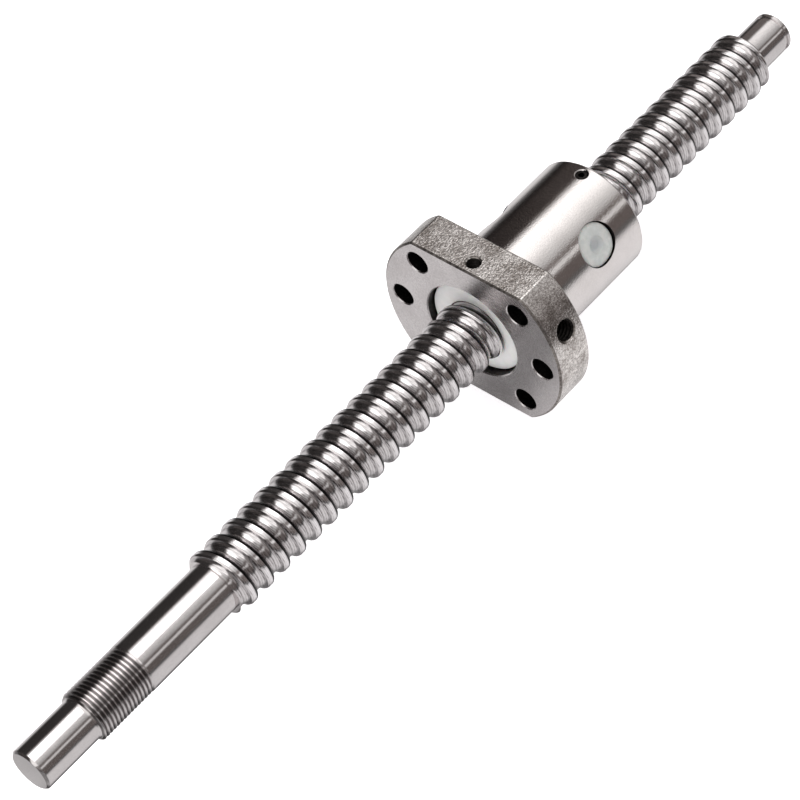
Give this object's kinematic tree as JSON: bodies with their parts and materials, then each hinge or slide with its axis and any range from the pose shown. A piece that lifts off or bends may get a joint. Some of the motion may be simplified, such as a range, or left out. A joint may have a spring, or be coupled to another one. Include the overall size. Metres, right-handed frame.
{
  "type": "ball screw assembly",
  "caption": "Ground right-hand ball screw with stepped bearing journals at both ends and a flanged ball nut with internal ball return, which turns rotation into travel along the screw.",
  "frame": {"origin": "centre of the flat end face of the drive journal, on the screw's axis", "axes": "+X along the screw's axis from the drive end towards the float end, +Z normal to the flange's upper flat, +Y to complete a right-handed frame"},
  "size_m": [0.2495, 0.048, 0.038],
  "materials": {
    "ground_steel": "ground and polished hardened steel, bright",
    "nut_steel": "satin ground hardened steel",
    "bearing_steel": "polished bearing steel",
    "deflector_polymer": "pale grey moulded polymer",
    "wiper_polymer": "white moulded polymer",
    "black_steel": "black oxide steel"
  },
  "bodies": {
    "screw": {"screw_shaft": "ground_steel"},
    "rear_wiper": {"rear_wiper": "wiper_polymer"},
    "nut": {"nut_body": "nut_steel", "front_wiper": "wiper_polymer", "front_wiper_set_screw": "black_steel", "rear_wiper_set_screw": "black_steel", "ball_deflector_1": "deflector_polymer", "ball_deflector_2": "deflector_polymer", "ball_deflector_3": "deflector_polymer", "ball_1_01": "bearing_steel", "ball_1_02": "bearing_steel", "ball_1_03": "bearing_steel", "ball_1_04": "bearing_steel", "ball_1_05": "bearing_steel", "ball_1_06": "bearing_steel", "ball_1_07": "bearing_steel", "ball_1_08": "bearing_steel", "ball_1_09": "bearing_steel", "ball_1_10": "bearing_steel", "ball_1_11": "bearing_steel", "ball_1_12": "bearing_steel", "ball_1_13": "bearing_steel", "ball_1_14": "bearing_steel", "ball_1_15": "bearing_steel", "ball_1_16": "bearing_steel", "ball_2_01": "bearing_steel", "ball_2_02": "bearing_steel", "ball_2_03": "bearing_steel", "ball_2_04": "bearing_steel", "ball_2_05": "bearing_steel", "ball_2_06": "bearing_steel", "ball_2_07": "bearing_steel", "ball_2_08": "bearing_steel", "ball_2_09": "bearing_steel", "ball_2_10": "bearing_steel", "ball_2_11": "bearing_steel", "ball_2_12": "bearing_steel", "ball_2_13": "bearing_steel", "ball_2_14": "bearing_steel", "ball_2_15": "bearing_steel", "ball_2_16": "bearing_steel", "ball_3_01": "bearing_steel", "ball_3_02": "bearing_steel", "ball_3_03": "bearing_steel", "ball_3_04": "bearing_steel", "ball_3_05": "bearing_steel", "ball_3_06": "bearing_steel", "ball_3_07": "bearing_steel", "ball_3_08": "bearing_steel", "ball_3_09": "bearing_steel", "ball_3_10": "bearing_steel", "ball_3_11": "bearing_steel", "ball_3_12": "bearing_steel", "ball_3_13": "bearing_steel", "ball_3_14": "bearing_steel", "ball_3_15": "bearing_steel", "ball_3_16": "bearing_steel"}
  },
  "joints": [
    {"name": "nut_travel", "type": "slide", "parent": "screw", "child": "rear_wiper", "axis": [1, 0, 0], "range_m": [-0.08, 0.054]},
    {"name": "nut_spin", "type": "hinge", "parent": "rear_wiper", "child": "nut", "pos_m": [0.1587, 0, 0], "axis": [1, 0, 0], "range_deg": [-5761, 3889]}
  ],
  "couplings": [
    {"joint": "nut_spin", "follows": "nut_travel", "rad_per_m": 1256.6}
  ]
}
